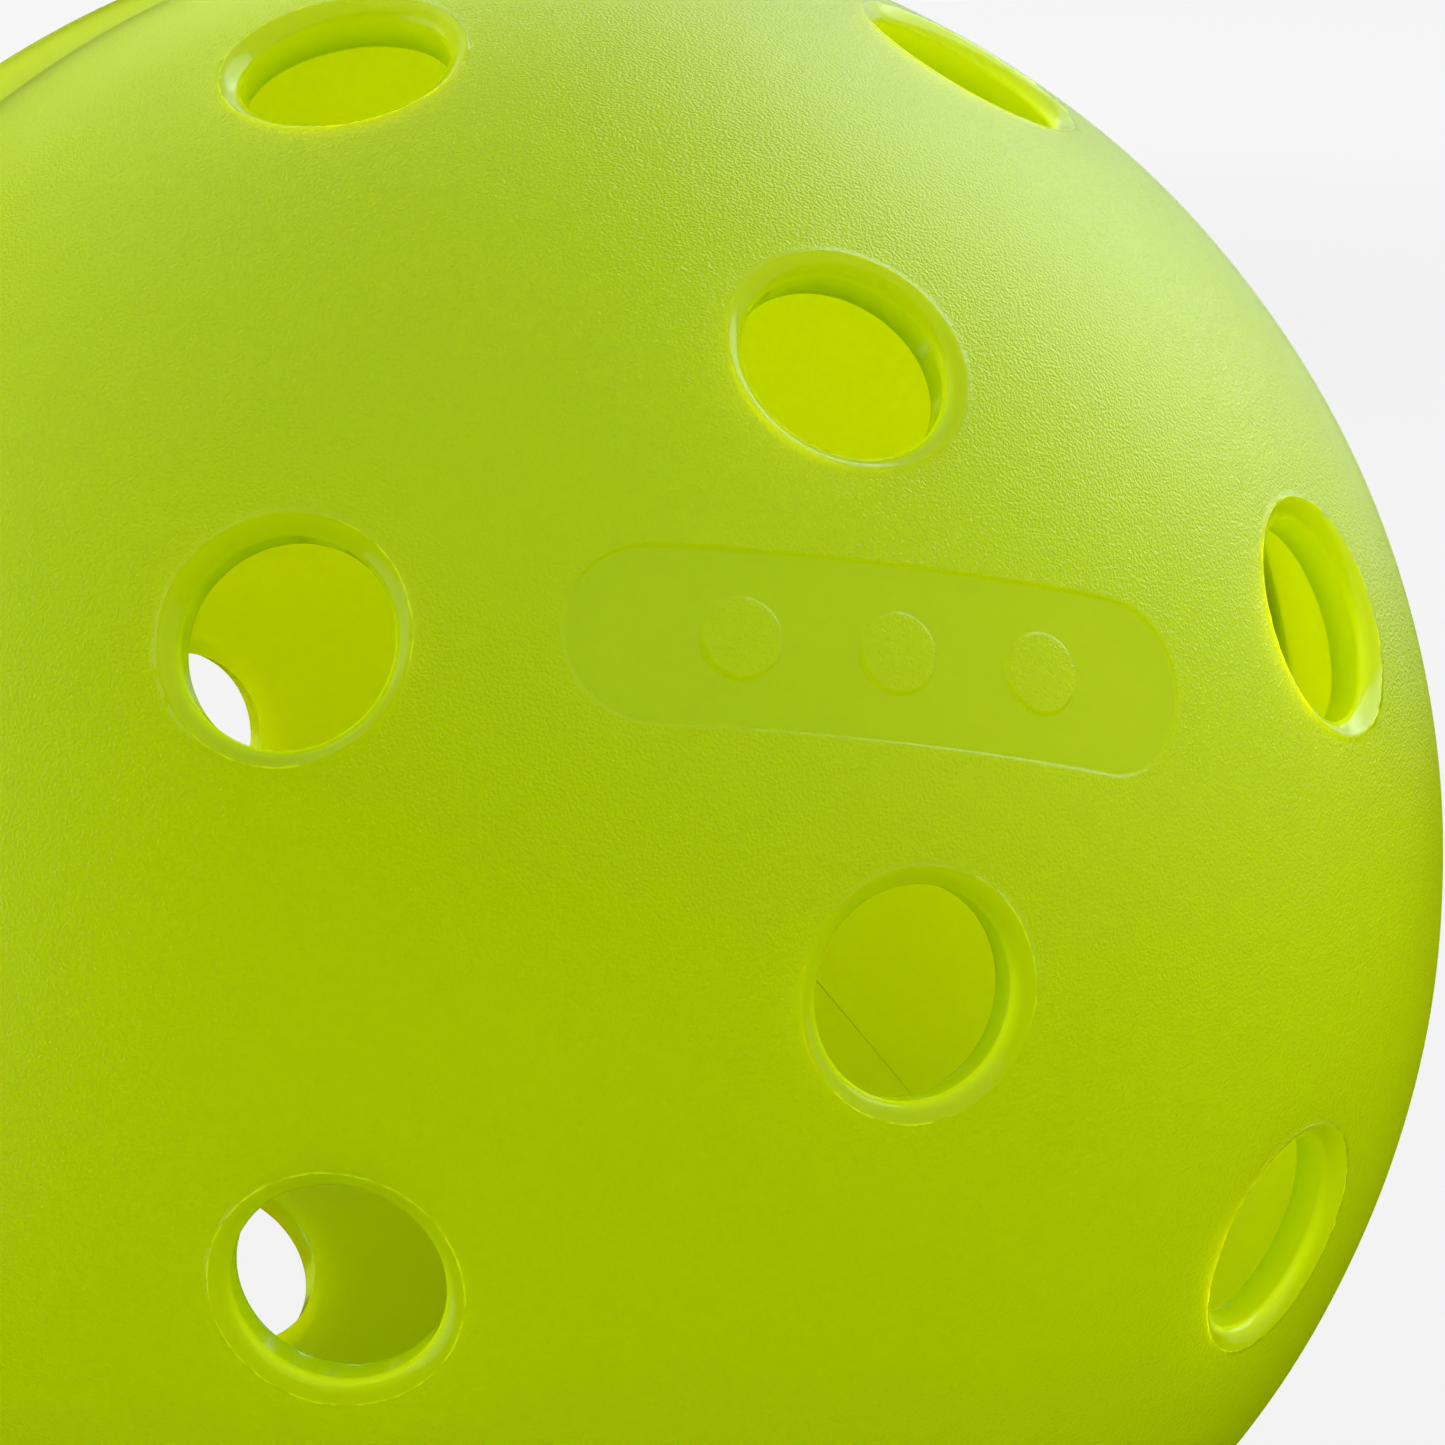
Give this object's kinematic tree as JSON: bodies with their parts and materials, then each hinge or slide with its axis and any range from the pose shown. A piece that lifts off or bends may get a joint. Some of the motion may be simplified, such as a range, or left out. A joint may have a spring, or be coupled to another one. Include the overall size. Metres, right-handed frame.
{
  "type": "pickleball ball",
  "caption": "Hollow perforated plastic ball made of two welded half shells, with round holes spread evenly over a sphere, for an outdoor paddle game.",
  "frame": {"origin": "the ball's centre", "axes": "XZ is the weld plane; -Y is the front half's pole, which has a hole on it; +Z lies in the plane of the pole hole and the nearest five-fold hole above it"},
  "size_m": [0.074, 0.0734, 0.074],
  "materials": {
    "ball_plastic": "semi-matt moulded polyethylene with a fine spark-eroded grain, smooth at the hole edges"
  },
  "bodies": {
    "root": {"front_shell": "ball_plastic", "rear_shell": "ball_plastic"}
  },
  "joints": []
}
